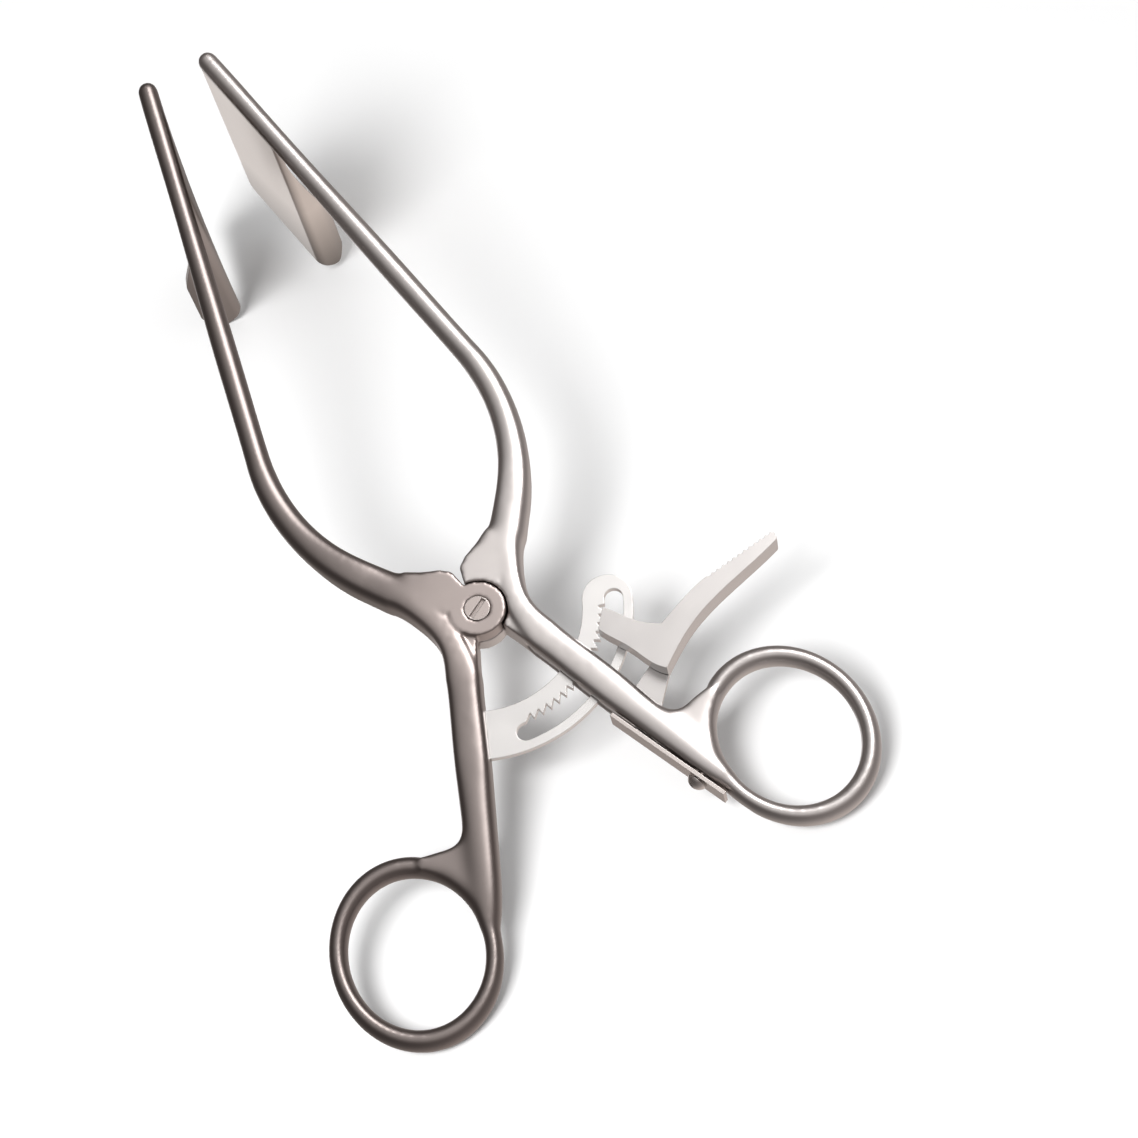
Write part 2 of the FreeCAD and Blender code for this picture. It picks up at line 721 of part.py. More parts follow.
def blade_lip(depth, flat):
    """Lip bent outwards at the crease and slightly curled, with its own rounded outline."""
    frame = BladeFrame()
    along, out, heading = BLADE_L - LIP_BEND_R, -BLADE_INSET + BLADE_T / 2, 0.0
    strip = None
    for length, bend in lip_walk(flat):
        stops = []
        for share in (0.0, 0.5, 1.0):
            turned = heading + length * share * bend
            if bend:
                a = along + (math.sin(turned) - math.sin(heading)) / bend
                o = out + (math.cos(heading) - math.cos(turned)) / bend
            else:
                a = along + length * share * math.cos(heading)
                o = out + length * share * math.sin(heading)
            stops.append((a, o, turned))
        rims = []
        for side in (1, -1):
            rims.append([
                frame.point(a - side * BLADE_T / 2 * math.sin(t), o + side * BLADE_T / 2 * math.cos(t), -depth - 8)
                for a, o, t in stops
            ])
        if bend:
            edges = [Part.Arc(*rim).toShape() for rim in rims]
        else:
            edges = [Part.makeLine(rim[0], rim[2]) for rim in rims]
        edges.append(Part.makeLine(rims[0][0], rims[1][0]))
        edges.append(Part.makeLine(rims[0][2], rims[1][2]))
        piece = Part.Face(Part.Wire(Part.__sortEdges__(edges))).extrude(V(0, 0, depth + 8))
        strip = piece if strip is None else strip.fuse(piece)
        along, out, heading = stops[2]
    return strip.common(lip_outline(depth, out)).removeSplitter()


def lip_outline(depth, reach):
    """Front view of the lip, as a solid along the rod: narrow at the top, full width below, rounded at the bottom."""
    frame = BladeFrame()
    deep = depth
    at = BLADE_L - LIP_BEND_R - 2
    left = -BLADE_INSET - 2
    inner = -BLADE_INSET
    wide = reach - inner
    side = [
        (inner + BLADE_T, -LIP_TOP),
        (inner + 0.45 * wide, -LIP_TOP - 0.22 * deep),
        (inner + 0.80 * wide, -LIP_TOP - 0.42 * deep),
        (inner + 1.02 * wide, -LIP_TOP - 0.56 * deep),
        (inner + 1.04 * wide, -deep + 3.0),
    ]
    foot = [
        side[-1],
        (inner + 0.92 * wide, -deep - 0.4 * LIP_DROP),
        (inner + 0.62 * wide, -deep - LIP_DROP),
        (inner + 0.25 * wide, -deep - 0.6 * LIP_DROP),
        (inner, -deep),
    ]
    edges = []
    for run in (side, foot):
        curve = Part.BSplineCurve()
        curve.interpolate([frame.point(at, o, z) for o, z in run])
        edges.append(curve.toShape())
    rest = [foot[-1], (left, -deep), (left, 0.0), (inner + BLADE_T, 0.0), side[0]]
    for first, second in zip(rest, rest[1:]):
        edges.append(Part.makeLine(frame.point(at, *first), frame.point(at, *second)))
    return Part.Face(Part.Wire(edges)).extrude(frame.along * 12)


def blade(side, depth, flat, tip_lean, crease_lean, half):
    frame = BladeFrame()
    lip = blade_lip(depth, flat)
    lip.rotate(frame.point(0, BLADE_T / 2 - BLADE_INSET, 0), frame.along, crease_lean)
    whole = blade_plate(depth, tip_lean, crease_lean).fuse(lip)
    return mirrored(whole, side).cut(half).removeSplitter()


def lowest(points, tilt):
    """Height of the lowest of some points once they are tilted about X."""
    a = math.radians(tilt)
    return min(p.y * math.sin(a) + p.z * math.cos(a) for p in points)


def stand_on_table(nodes):
    """Tilt everything until a blade lip and the rings touch the table, then centre it over the origin."""
    lips = nodes["left_blade"].tessellate(0.02)[0] + nodes["right_blade"].tessellate(0.02)[0]
    rings = [p for p in nodes["left_arm_handle"].tessellate(0.02)[0] if p.y < 0]
    low, high = 0.0, 45.0
    for step in range(40):
        tilt = (low + high) / 2
        if lowest(lips, tilt) < lowest(rings, tilt):
            low = tilt
        else:
            high = tilt
    for shape in nodes.values():
        shape.rotate(V(0, 0, 0), V(1, 0, 0), tilt)
        shape.tessellate(0.02)
    boxes = [shape.optimalBoundingBox(True, False) for shape in nodes.values()]
    low = V(min(b.XMin for b in boxes), min(b.YMin for b in boxes), min(b.ZMin for b in boxes))
    high = V(max(b.XMax for b in boxes), max(b.YMax for b in boxes), max(b.ZMax for b in boxes))
    shift = V(-(low.x + high.x) / 2, -(low.y + high.y) / 2, -low.z)
    for shape in nodes.values():
        shape.translate(shift)
    return tilt, shift


left_half = forging(-1)
right_half = forging(1)
NODES = {
    "left_arm_handle": left_half,
    "right_arm_handle": right_half,
    "left_blade": blade(-1, LEFT_BLADE_DEPTH, LEFT_LIP_FLAT, LEFT_TIP_LEAN, LEFT_CREASE_LEAN, left_half),
    "right_blade": blade(1, RIGHT_BLADE_DEPTH, RIGHT_LIP_FLAT, RIGHT_TIP_LEAN, RIGHT_CREASE_LEAN, right_half),
    "pivot_screw": pivot_screw(),
    "ratchet_rack": ratchet_rack(),
    "rack_rivets": rack_rivets(),
    "release_lever": release_lever(),
    "lever_pin": lever_pin(),
    "leaf_spring": leaf_spring(),
    "spring_screw": spring_screw(),
}
tilt, shift = stand_on_table(NODES)
turn = FreeCAD.Rotation(V(1, 0, 0), tilt)
os.makedirs("parts", exist_ok=True)
for name, shape in NODES.items():
    shape.exportStep("parts/" + name + ".step")
    print(name, len(shape.Solids), round(shape.Volume, 1), shape.isValid())
print("tilt", round(tilt, 4), "shift", shift, "normal", turn.multVec(Z_AXIS))
print("pivot", turn.multVec(V(0, 0, 0)) + shift)
print("lever pin", turn.multVec(on_shank(PIN_AT, PIN_OFF)) + shift)
print("leaf clamp", turn.multVec(leaf_frame()[0]) + shift)
print("ring centre", turn.multVec(ring_centre(RIGHT_SHANK_L)) + shift)
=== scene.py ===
import json
import logging
import math
from dataclasses import dataclass
from enum import Enum
from typing import Optional, Sequence

import bpy
import numpy as np
from mathutils import Matrix, Vector


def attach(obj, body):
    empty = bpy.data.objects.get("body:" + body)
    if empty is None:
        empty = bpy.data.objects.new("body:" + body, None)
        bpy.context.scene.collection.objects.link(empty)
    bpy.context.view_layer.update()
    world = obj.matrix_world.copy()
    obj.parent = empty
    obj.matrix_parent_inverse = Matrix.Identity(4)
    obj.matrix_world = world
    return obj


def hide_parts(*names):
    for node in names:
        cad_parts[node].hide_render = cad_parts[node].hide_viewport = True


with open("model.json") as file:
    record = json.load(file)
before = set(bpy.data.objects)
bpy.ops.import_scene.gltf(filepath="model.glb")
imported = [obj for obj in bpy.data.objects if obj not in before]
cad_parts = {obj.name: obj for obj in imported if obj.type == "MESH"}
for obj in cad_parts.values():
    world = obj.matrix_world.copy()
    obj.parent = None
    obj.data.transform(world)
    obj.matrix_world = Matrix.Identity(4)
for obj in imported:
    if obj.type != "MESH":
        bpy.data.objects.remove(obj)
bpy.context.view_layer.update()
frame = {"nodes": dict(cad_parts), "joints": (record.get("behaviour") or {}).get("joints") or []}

logging.basicConfig(level=logging.INFO, format="%(message)s")
log = logging.getLogger("retractor")

MM = 0.001

# Scales of the noise in the polishing grain, per metre: fine marks of about 0.2 mm and soft waves of about 8 mm.
MARKS_SCALE = 5200.0
WAVES_SCALE = 130.0
GRAIN_DETAIL = 3.0
MARKS_ROUGHNESS = 0.6
WAVES_ROUGHNESS = 0.55

# Agreement of the true and the rounded normal at which an edge starts to count as worn, and at which it is all worn.
EDGE_STARTS = 0.995
EDGE_FULL = 0.8

# Depth of the grain's relief in metres, and how far the wear reaches past the rounding of an edge.
RELIEF_DEPTH = 0.00012
WEAR_PAST_ROUNDING = 1.2
WORN_COLOUR = (0.86, 0.83, 0.81, 1.0)

# The darkest and the lightest tone of the grain, as shares of a finish's colour.
DARK_TONE = 0.93
LIGHT_TONE = 1.05

# Rays per point that look for worn edges and that round the edges in the shading.
WEAR_SAMPLES = 4
ROUNDING_SAMPLES = 6


class Side(Enum):
    """The two halves of the instrument, seen from above with the blades away from the viewer."""

    LEFT = -1
    RIGHT = 1


class Lay(Enum):
    """Direction of the fine polishing marks, as a share of the marks' length along X, Y and Z."""

    ALONG = (1.0, 0.06, 1.0)
    ACROSS = (0.08, 1.0, 1.0)
    EVEN = (1.0, 1.0, 1.0)


@dataclass(frozen=True)
class InstrumentPlane:
    """The instrument's own plane, which is tilted in the row's frame because it stands on rings and lips.

    Args:
        origin: place of the pivot in metres, in the row's frame.
        normal: unit direction out of the plane, towards the viewer.
    """

    origin: tuple[float, float, float]
    normal: tuple[float, float, float]

    @staticmethod
    def from_joint(joints: Sequence[dict], name: str) -> "InstrumentPlane":
        """Reads the plane from the hinge that joins the halves.

        Args:
            joints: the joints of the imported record.
            name: the hinge's name.

        Returns:
            The plane through the hinge's place, square to its axis.
        """
        joint = next(j for j in joints if j["name"] == name)
        axis = -np.asarray(joint["axis"], float)
        axis /= np.linalg.norm(axis)
        return InstrumentPlane(tuple(joint["pos_m"]), tuple(axis))

    def matrix(self) -> np.ndarray:
        """Finds the plane's own directions in the row's frame.

        Returns:
            The 3 by 3 matrix whose columns are the plane's right, forward and normal directions.
        """
        normal = np.asarray(self.normal)
        right = np.array([1.0, 0.0, 0.0])
        forward = np.cross(normal, right)
        return np.stack([right, forward / np.linalg.norm(forward), normal], axis=1)

    def place(self, points_mm: np.ndarray) -> np.ndarray:
        """Moves points from the instrument's frame into the row's frame.

        Args:
            points_mm: array of (..., 3) points in millimetres, Z square to the plane.

        Returns:
            The same points in metres in the row's frame.
        """
        return np.asarray(points_mm) * MM @ self.matrix().T + np.asarray(self.origin)


def grid_mesh(name: str, grid: np.ndarray, closed_round: bool = True, capped: bool = True) -> bpy.types.Object:
    """Makes a mesh object from a grid of points.

    Rows run along the piece and columns run round it. Faces join each point to its neighbours in both directions.

    Args:
        name: name of the new object.
        grid: array of (rows, columns, 3) points in metres.
        closed_round: whether the last column joins the first.
        capped: whether the first and the last row are closed by one face each.

    Returns:
        The new object, at the origin, with smooth shading and outward normals.
    """
    rows, cols, _ = grid.shape
    index = np.arange(rows * cols).reshape(rows, cols)
    nxt = np.roll(index, -1, axis=1) if closed_round else index[:, 1:]
    here = index if closed_round else index[:, :-1]
    quads = np.stack([here[:-1], here[1:], nxt[1:], nxt[:-1]], axis=-1).reshape(-1, 4)
    faces = [tuple(q) for q in quads.tolist()]
    if capped and closed_round:
        faces.append(tuple(index[0].tolist()))
        faces.append(tuple(index[-1][::-1].tolist()))
    mesh = bpy.data.meshes.new(name)
    mesh.from_pydata(grid.reshape(-1, 3).tolist(), [], faces)
    mesh.update()
    mesh.polygons.foreach_set("use_smooth", np.ones(len(mesh.polygons), bool))
    obj = bpy.data.objects.new(name, mesh)
    bpy.context.scene.collection.objects.link(obj)
    turn_outward(mesh)
    return obj


def turn_outward(mesh: bpy.types.Mesh) -> None:
    """Flips the mesh when its signed volume is negative, so that its normals point outwards.

    The signed volume is a sixth of the sum, over all triangles, of corner one dotted with the cross product of the
    other two corners.

    Args:
        mesh: a closed mesh.
    """
    mesh.calc_loop_triangles()
    corners = np.empty(len(mesh.vertices) * 3)
    mesh.vertices.foreach_get("co", corners)
    corners = corners.reshape(-1, 3)
    corners = corners - corners.mean(axis=0)
    tris = np.empty(len(mesh.loop_triangles) * 3, int)
    mesh.loop_triangles.foreach_get("vertices", tris)
    a, b, c = corners[tris.reshape(-1, 3)].transpose(1, 0, 2)
    if np.einsum("ij,ij->i", a, np.cross(b, c)).sum() < 0:
        mesh.flip_normals()


class Nodes:
    """Small helper that adds shader nodes from left to right and joins them."""

    SPACING = 190

    def __init__(self, tree: bpy.types.NodeTree) -> None:
        """Starts with no nodes.

        Args:
            tree: the node tree that the nodes go into.
        """
        self.tree = tree
        self.count = 0

    def add(self, kind: str, settings: Optional[dict] = None, **inputs: object) -> bpy.types.Node:
        """Adds a node.

        Args:
            kind: Blender's type name of the node.
            settings: values for the node's own properties.
            inputs: socket name with underscores for spaces, or i and the socket's number, to a constant or to an
                output socket.

        Returns:
            The new node.
        """
        node = self.tree.nodes.new(kind)
        node.location = (self.count * self.SPACING, 0)
        self.count += 1
        for key, value in (settings or {}).items():
            setattr(node, key, value)
        for key, value in inputs.items():
            numbered = key[0] == "i" and key[1:].isdigit()
            socket = node.inputs[int(key[1:]) if numbered else key.replace("_", " ")]
            if isinstance(value, bpy.types.NodeSocket):
                self.tree.links.new(value, socket)
            else:
                socket.default_value = value
        return node

    def math(self, operation: str, first: object, second: object) -> bpy.types.NodeSocket:
        """Adds a math node.

        Args:
            operation: Blender's name of the operation.
            first: constant or output socket.
            second: constant or output socket.

        Returns:
            The node's output socket.
        """
        return self.add("ShaderNodeMath", {"operation": operation}, i0=first, i1=second).outputs[0]

    def ramp(self, value: object, low: float, high: float, at_low: object, at_high: object,
             smooth: bool = False) -> bpy.types.NodeSocket:
        """Adds a map range node, which holds its end values beyond its range.

        Args:
            value: constant or output socket.
            low: value at which the ramp starts.
            high: value at which the ramp ends.
            at_low: the output up to the start.
            at_high: the output from the end on.
            smooth: whether the ramp eases in and out.

        Returns:
            The node's output socket.
        """
        settings = {"interpolation_type": "SMOOTHSTEP"} if smooth else None
        return self.add("ShaderNodeMapRange", settings, Value=value, From_Min=low, From_Max=high, To_Min=at_low,
                        To_Max=at_high).outputs[0]


def new_group(
    name: str, outputs: Sequence[tuple[str, str]], inputs: Sequence[tuple[str, str, object]]
) -> bpy.types.NodeTree:
    """Makes an empty shader node group with its sockets.

    Args:
        name: name of the group.
        outputs: pairs of socket name and socket type.
        inputs: triples of socket name, socket type and default value.

    Returns:
        The group's tree.
    """
    tree = bpy.data.node_groups.new(name, "ShaderNodeTree")
    for label, kind, value in inputs:
        socket = tree.interface.new_socket(label, in_out="INPUT", socket_type=kind)
        socket.default_value = value
    for label, kind in outputs:
        tree.interface.new_socket(label, in_out="OUTPUT", socket_type=kind)
    return tree


def polishing_grain() -> bpy.types.NodeTree:
    """Node group for satin grain: long fine marks and broad soft waves, in object coordinates.

    Returns:
        A group with the outputs Rough, Height and Tone, made once and shared by every steel.
    """
    if "polishing_grain" in bpy.data.node_groups:
        return bpy.data.node_groups["polishing_grain"]
    tree = new_group(
        "polishing_grain",
        [("Rough", "NodeSocketFloat"), ("Height", "NodeSocketFloat"), ("Tone", "NodeSocketFloat")],
        [
            ("Rough Mid", "NodeSocketFloat", 0.3),
            ("Rough Swing", "NodeSocketFloat", 0.06),
            ("Lay", "NodeSocketVector", (1, 1, 1)),
        ],
    )
    n = Nodes(tree)
    source = n.add("NodeGroupInput")
    place = n.add("ShaderNodeTexCoord").outputs["Object"]
    stretched = n.add("ShaderNodeVectorMath", {"operation": "MULTIPLY"}, i0=place, i1=source.outputs["Lay"])
    marks = n.add("ShaderNodeTexNoise", None, Vector=stretched.outputs[0], Scale=MARKS_SCALE, Detail=GRAIN_DETAIL,
                  Roughness=MARKS_ROUGHNESS)
    broad = n.add("ShaderNodeTexNoise", None, Vector=place, Scale=WAVES_SCALE, Detail=GRAIN_DETAIL,
                  Roughness=WAVES_ROUGHNESS)
    mixed = n.math("ADD", marks.outputs["Fac"], broad.outputs["Fac"])
    centred = n.math("SUBTRACT", mixed, 1.0)
    swing = n.math("MULTIPLY", centred, source.outputs["Rough Swing"])
    rough = n.math("ADD", swing, source.outputs["Rough Mid"])
    out = n.add("NodeGroupOutput")
    tree.links.new(rough, out.inputs["Rough"])
    tree.links.new(marks.outputs["Fac"], out.inputs["Height"])
    tree.links.new(broad.outputs["Fac"], out.inputs["Tone"])
    return tree


def worn_edges() -> bpy.types.NodeTree:
    """Node group that finds outer edges, where polishing has left the steel brighter and smoother.

    Returns:
        A group with the output Edge, 0 on faces and up to 1 on sharp outer edges.
    """
    if "worn_edges" in bpy.data.node_groups:
        return bpy.data.node_groups["worn_edges"]
    tree = new_group("worn_edges", [("Edge", "NodeSocketFloat")], [("Reach", "NodeSocketFloat", 0.0004)])
    n = Nodes(tree)
    source = n.add("NodeGroupInput")
    true_normal = n.add("ShaderNodeNewGeometry").outputs["Normal"]
    soft = n.add("ShaderNodeBevel", {"samples": WEAR_SAMPLES}, Radius=source.outputs["Reach"]).outputs["Normal"]
    agree = n.add("ShaderNodeVectorMath", {"operation": "DOT_PRODUCT"}, i0=true_normal, i1=soft).outputs["Value"]
    edge = n.ramp(agree, EDGE_STARTS, EDGE_FULL, 0.0, 1.0)
    out = n.add("NodeGroupOutput")
    tree.links.new(edge, out.inputs["Edge"])
    return tree


@dataclass(frozen=True)
class SatinSteel:
    """Satin finished stainless steel.

    Args:
        name: name of the material.
        colour: linear base colour.
        rough: middle roughness.
        rough_swing: how far the grain moves the roughness.
        lay: direction of the polishing marks.
        bump: strength of the grain's relief.
        edge_radius: how far the shading rounds sharp edges, in metres.
        edge_light: how much brighter worn edges are.
        painted_low_shade: share of the colour left at the table: painted shade for the shade that the steel mirrors
            there.
        painted_shade_reach: height in metres above which no painted shade is added.
        painted_lap_light: how much brighter the colour is painted round the pivot than the rest, a painted highlight.
        lap_at: place of the pivot in metres.
        painted_lap_reach: distances from the pivot at which the painted highlight starts to fall and at which it has
            gone.
    """

    name: str
    colour: tuple[float, float, float] = (0.56, 0.52, 0.50)
    rough: float = 0.27
    rough_swing: float = 0.05
    lay: Lay = Lay.ALONG
    bump: float = 0.012
    edge_radius: float = 0.00035
    edge_light: float = 0.2
    painted_low_shade: float = 1.0
    painted_shade_reach: float = 0.035
    painted_lap_light: float = 1.0
    lap_at: tuple[float, float, float] = (0.0001, -0.0421, 0.0226)
    painted_lap_reach: tuple[float, float] = (0.007, 0.021)

    def material(self) -> bpy.types.Material:
        """Makes the material once: grain and waves in its tone, brighter worn edges, painted shade near the table,
        painted light round the pivot.

        Returns:
            The material.
        """
        if self.name in bpy.data.materials:
            return bpy.data.materials[self.name]
        mat = bpy.data.materials.new(self.name)
        mat.use_nodes = True
        tree = mat.node_tree
        tree.nodes.clear()
        n = Nodes(tree)
        grain = n.add("ShaderNodeGroup", {"node_tree": polishing_grain()}, Rough_Mid=self.rough,
                      Rough_Swing=self.rough_swing, Lay=self.lay.value)
        edges = n.add("ShaderNodeGroup", {"node_tree": worn_edges()}, Reach=self.edge_radius * WEAR_PAST_ROUNDING)
        dark = tuple(c * DARK_TONE for c in self.colour) + (1.0,)
        light = tuple(min(1.0, c * LIGHT_TONE) for c in self.colour) + (1.0,)
        tone = n.add("ShaderNodeMix", {"data_type": "RGBA"}, i0=grain.outputs["Tone"])
        tone.inputs[6].default_value = dark
        tone.inputs[7].default_value = light
        share = n.math("MULTIPLY", edges.outputs["Edge"], self.edge_light)
        lit = n.add("ShaderNodeMix", {"data_type": "RGBA"}, i0=share)
        tree.links.new(tone.outputs[2], lit.inputs[6])
        lit.inputs[7].default_value = WORN_COLOUR
        # Painted shade: the colour darkens towards the table below painted_shade_reach. Painted light: it brightens
        # round the pivot by painted_lap_light.
        place = n.add("ShaderNodeTexCoord").outputs["Object"]
        height = n.add("ShaderNodeSeparateXYZ", None, Vector=place).outputs["Z"]
        shade = n.ramp(height, 0.0, self.painted_shade_reach, self.painted_low_shade, 1.0)
        away = n.add("ShaderNodeVectorMath", {"operation": "DISTANCE"}, i0=place, i1=self.lap_at).outputs["Value"]
        near, far = self.painted_lap_reach
        gain = n.ramp(away, near, far, self.painted_lap_light, 1.0, smooth=True)
        both = n.math("MULTIPLY", shade, gain)
        shaded = n.add("ShaderNodeVectorMath", {"operation": "SCALE"}, i0=lit.outputs[2], Scale=both).outputs[0]
        rounded = n.add("ShaderNodeBevel", {"samples": ROUNDING_SAMPLES}, Radius=self.edge_radius).outputs["Normal"]
        relief = n.add("ShaderNodeBump", None, Strength=self.bump, Distance=RELIEF_DEPTH,
                       Height=grain.outputs["Height"], Normal=rounded).outputs["Normal"]
        shader = n.add("ShaderNodeBsdfPrincipled", None, Metallic=1.0, Base_Color=shaded,
                       Roughness=grain.outputs["Rough"], Normal=relief)
        out = n.add("ShaderNodeOutputMaterial")
        tree.links.new(shader.outputs[0], out.inputs["Surface"])
        return mat

    def put_on(self, obj: bpy.types.Object) -> None:
        """Puts the finish on every slot of an object.

        Args:
            obj: a mesh object.
        """
        mat = self.material()
        if not obj.material_slots:
            obj.data.materials.append(mat)
        for place in obj.material_slots:
            place.material = mat


# Both halves are one steel: the left copy is darker as painted shade, and painted_lap_light paints a lighter patch
# round its pivot.
FORGED_LEFT_PAINTED_LIGHT_AND_SHADE = SatinSteel("forged_satin_left_painted_light_and_shade", colour=(0.265, 0.233, 0.223), rough=0.31, painted_lap_light=1.55)
FORGED_RIGHT = SatinSteel("forged_satin_right", colour=(0.575, 0.548, 0.538), rough=0.30)
# The left blade copy is darker as painted shade, and painted_low_shade on both blades paints shade towards the table.
BLADE_LEFT_PAINTED_SHADE = SatinSteel("blade_satin_left_painted_shade", colour=(0.40, 0.365, 0.35), rough=0.36, lay=Lay.ACROSS, painted_low_shade=0.7)
BLADE_RIGHT_PAINTED_SHADE = SatinSteel("blade_satin_right_painted_shade", colour=(0.76, 0.715, 0.68), rough=0.30, lay=Lay.ACROSS, painted_low_shade=0.22,
                         painted_shade_reach=0.027)
RACK = SatinSteel("rack_satin", colour=(0.75, 0.745, 0.74), rough=0.24, lay=Lay.EVEN, edge_radius=0.00018)
LEVER = SatinSteel("lever_satin", colour=(0.58, 0.565, 0.56), rough=0.24, lay=Lay.ACROSS, edge_radius=0.00012)
PIVOT = SatinSteel("pivot_satin", colour=(0.49, 0.437, 0.417), rough=0.28, lay=Lay.EVEN, edge_radius=0.0003,
                   edge_light=1.0)
SCREW = SatinSteel("screw_polish", colour=(0.66, 0.62, 0.60), rough=0.20, lay=Lay.EVEN, edge_radius=0.00015)
SPRING = SatinSteel("spring_satin", colour=(0.58, 0.54, 0.52), rough=0.26, edge_radius=0.00012)
BRAZE = SatinSteel("braze_fillet", colour=(0.60, 0.55, 0.50), rough=0.38, lay=Lay.EVEN, edge_radius=0.0001)


@dataclass
class Assembly:
    """A group of pieces of the instrument that are dressed together.

    Args:
        nodes: names of the CAD nodes in it.
        finish: the finish that they get.
    """

    nodes: tuple[str, ...]
    finish: SatinSteel

    def build(self) -> None:
        """Dresses each CAD node of the group and logs it."""
        for name in self.nodes:
            self.finish.put_on(frame["nodes"][name])
            log.info("dressed %s with %s", name, self.finish.name)


def relaxed(points: np.ndarray, edges: np.ndarray, share: np.ndarray, rounds: int, regrow: float) -> np.ndarray:
    """Smooths a mesh's points.

    In each round every point moves towards the mean of its neighbours by its own share of the way. In every second
    round it moves back by the regrow factor, so that round bars keep their thickness.

    Args:
        points: array of (n, 3) points.
        edges: array of (m, 2) indices of neighbours.
        share: array of n shares from 0 to 1.
        rounds: number of rounds.
        regrow: 0 for plain smoothing, about 1 to keep the thickness.

    Returns:
        The moved points.
    """
    size = len(points)
    first, second = edges[:, 0], edges[:, 1]
    count = np.bincount(edges.ravel(), minlength=size)[:, None]
    for turn in range(rounds):
        near = [
            np.bincount(first, points[second, axis], size) + np.bincount(second, points[first, axis], size)
            for axis in range(3)
        ]
        pull = (np.stack(near, axis=1) / count - points) * share[:, None]
        points = points + (pull if turn % 2 == 0 else -regrow * pull)
    return points


@dataclass
class Forging(Assembly):
    """One forged half, with a softened skin in which shank, web and ring flow into each other.

    Args:
        side: which half it is.
        body: the moving body it belongs to.
        plane: the instrument's plane.
        voxel_mm: step of the even grid that the skin is made on.
        corner_mm: line along the corner between shank and ring, as its two ends, for the right half.
        corner_reach_mm: how far round the corner the blending reaches.
        joint_reach_mm: how far round the pivot the edges stay crisp.
        flare_mm: place where the bow runs out into the lap.
        flare_reach_mm: how far round that place the blending reaches.
        edge_rounds: rounds of smoothing for all edges.
        edge_share: least and most share of each round, at the pivot and away from it.
        edge_regrow: regrow factor of those rounds.
        blend_rounds: rounds of smoothing for the corner and the flare.
        blend_share: most share of each of these rounds.
        blend_regrow: regrow factor of these rounds.
        corner_core: share of the corner's reach at which the blending has fallen to about a third.
        bell_power: how steeply the blending falls.
        joint_power: how steeply the crispness falls.
    """

    side: Side = Side.RIGHT
    body: str = ""
    plane: Optional[InstrumentPlane] = None
    voxel_mm: float = 0.32
    corner_mm: tuple[tuple[float, float], tuple[float, float]] = ((21.0, -38.5), (30.0, -60.0))
    corner_reach_mm: float = 16.0
    joint_reach_mm: float = 8.6
    flare_mm: tuple[float, float] = (9.6, 14.4)
    flare_reach_mm: float = 5.0
    edge_rounds: int = 26
    edge_share: tuple[float, float] = (0.05, 0.5)
    edge_regrow: float = 0.4
    blend_rounds: int = 170
    blend_share: float = 0.5
    blend_regrow: float = 0.45
    corner_core: float = 0.6
    bell_power: int = 4
    joint_power: int = 10

    def build(self) -> None:
        """Makes the skin, dresses it and lets it stand for the solid."""
        skin = self.skin()
        self.finish.put_on(skin)
        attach(skin, self.body)
        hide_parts(*self.nodes)
        log.info("built %s", skin.name)

    def skin(self) -> bpy.types.Object:
        """Copies the solid onto an even grid of small faces and smooths it.

        Returns:
            The new object.
        """
        name = f"{self.side.name.lower()}_forging_skin"
        obj = bpy.data.objects.new(name, frame["nodes"][self.nodes[0]].data.copy())
        bpy.context.scene.collection.objects.link(obj)
        even = obj.modifiers.new("even_grid", "REMESH")
        even.mode = "VOXEL"
        even.voxel_size = self.voxel_mm * MM
        bpy.context.view_layer.update()
        mesh = bpy.data.meshes.new_from_object(obj.evaluated_get(bpy.context.evaluated_depsgraph_get()))
        obj.modifiers.clear()
        obj.data = mesh
        mesh.name = name
        points = np.empty(len(mesh.vertices) * 3)
        mesh.vertices.foreach_get("co", points)
        edges = np.empty(len(mesh.edges) * 2, int)
        mesh.edges.foreach_get("vertices", edges)
        points = self.softened(points.reshape(-1, 3), edges.reshape(-1, 2))
        mesh.vertices.foreach_set("co", points.ravel())
        mesh.polygons.foreach_set("use_smooth", np.ones(len(mesh.polygons), bool))
        mesh.update()
        turn_outward(mesh)
        return obj

    def softened(self, points: np.ndarray, edges: np.ndarray) -> np.ndarray:
        """Smooths all edges a little, and most the corner at the ring and the flare at the lap.

        The share of smoothing falls from its most at the corner and at the flare to 0 at their reach as a bell
        curve, and edges near the pivot are left out by a second, steeper bell curve.

        Args:
            points: array of (n, 3) points in metres, in the row's frame.
            edges: array of (m, 2) indices of neighbours.

        Returns:
            The moved points.
        """
        flat = (points - np.asarray(self.plane.origin)) @ self.plane.matrix() / MM
        mirrored = np.stack([self.side.value * flat[:, 0], flat[:, 1]], axis=1)
        start, end = np.asarray(self.corner_mm)
        run = end - start
        along = np.clip((mirrored - start) @ run / (run @ run), 0.0, 1.0)
        to_corner = np.linalg.norm(mirrored - start - along[:, None] * run, axis=1)
        to_flare = np.linalg.norm(mirrored - np.asarray(self.flare_mm), axis=1)
        to_pivot = np.hypot(flat[:, 0], flat[:, 1])
        corner_bell = np.exp(-((to_corner / (self.corner_core * self.corner_reach_mm)) ** self.bell_power))
        flare_bell = np.exp(-((to_flare / self.flare_reach_mm) ** self.bell_power))
        blend = np.maximum(corner_bell, flare_bell)
        edge = 1.0 - np.exp(-((to_pivot / self.joint_reach_mm) ** self.joint_power))
        least, most = self.edge_share
        points = relaxed(points, edges, least + (most - least) * edge, self.edge_rounds, self.edge_regrow)
        return relaxed(points, edges, self.blend_share * blend, self.blend_rounds, self.blend_regrow)


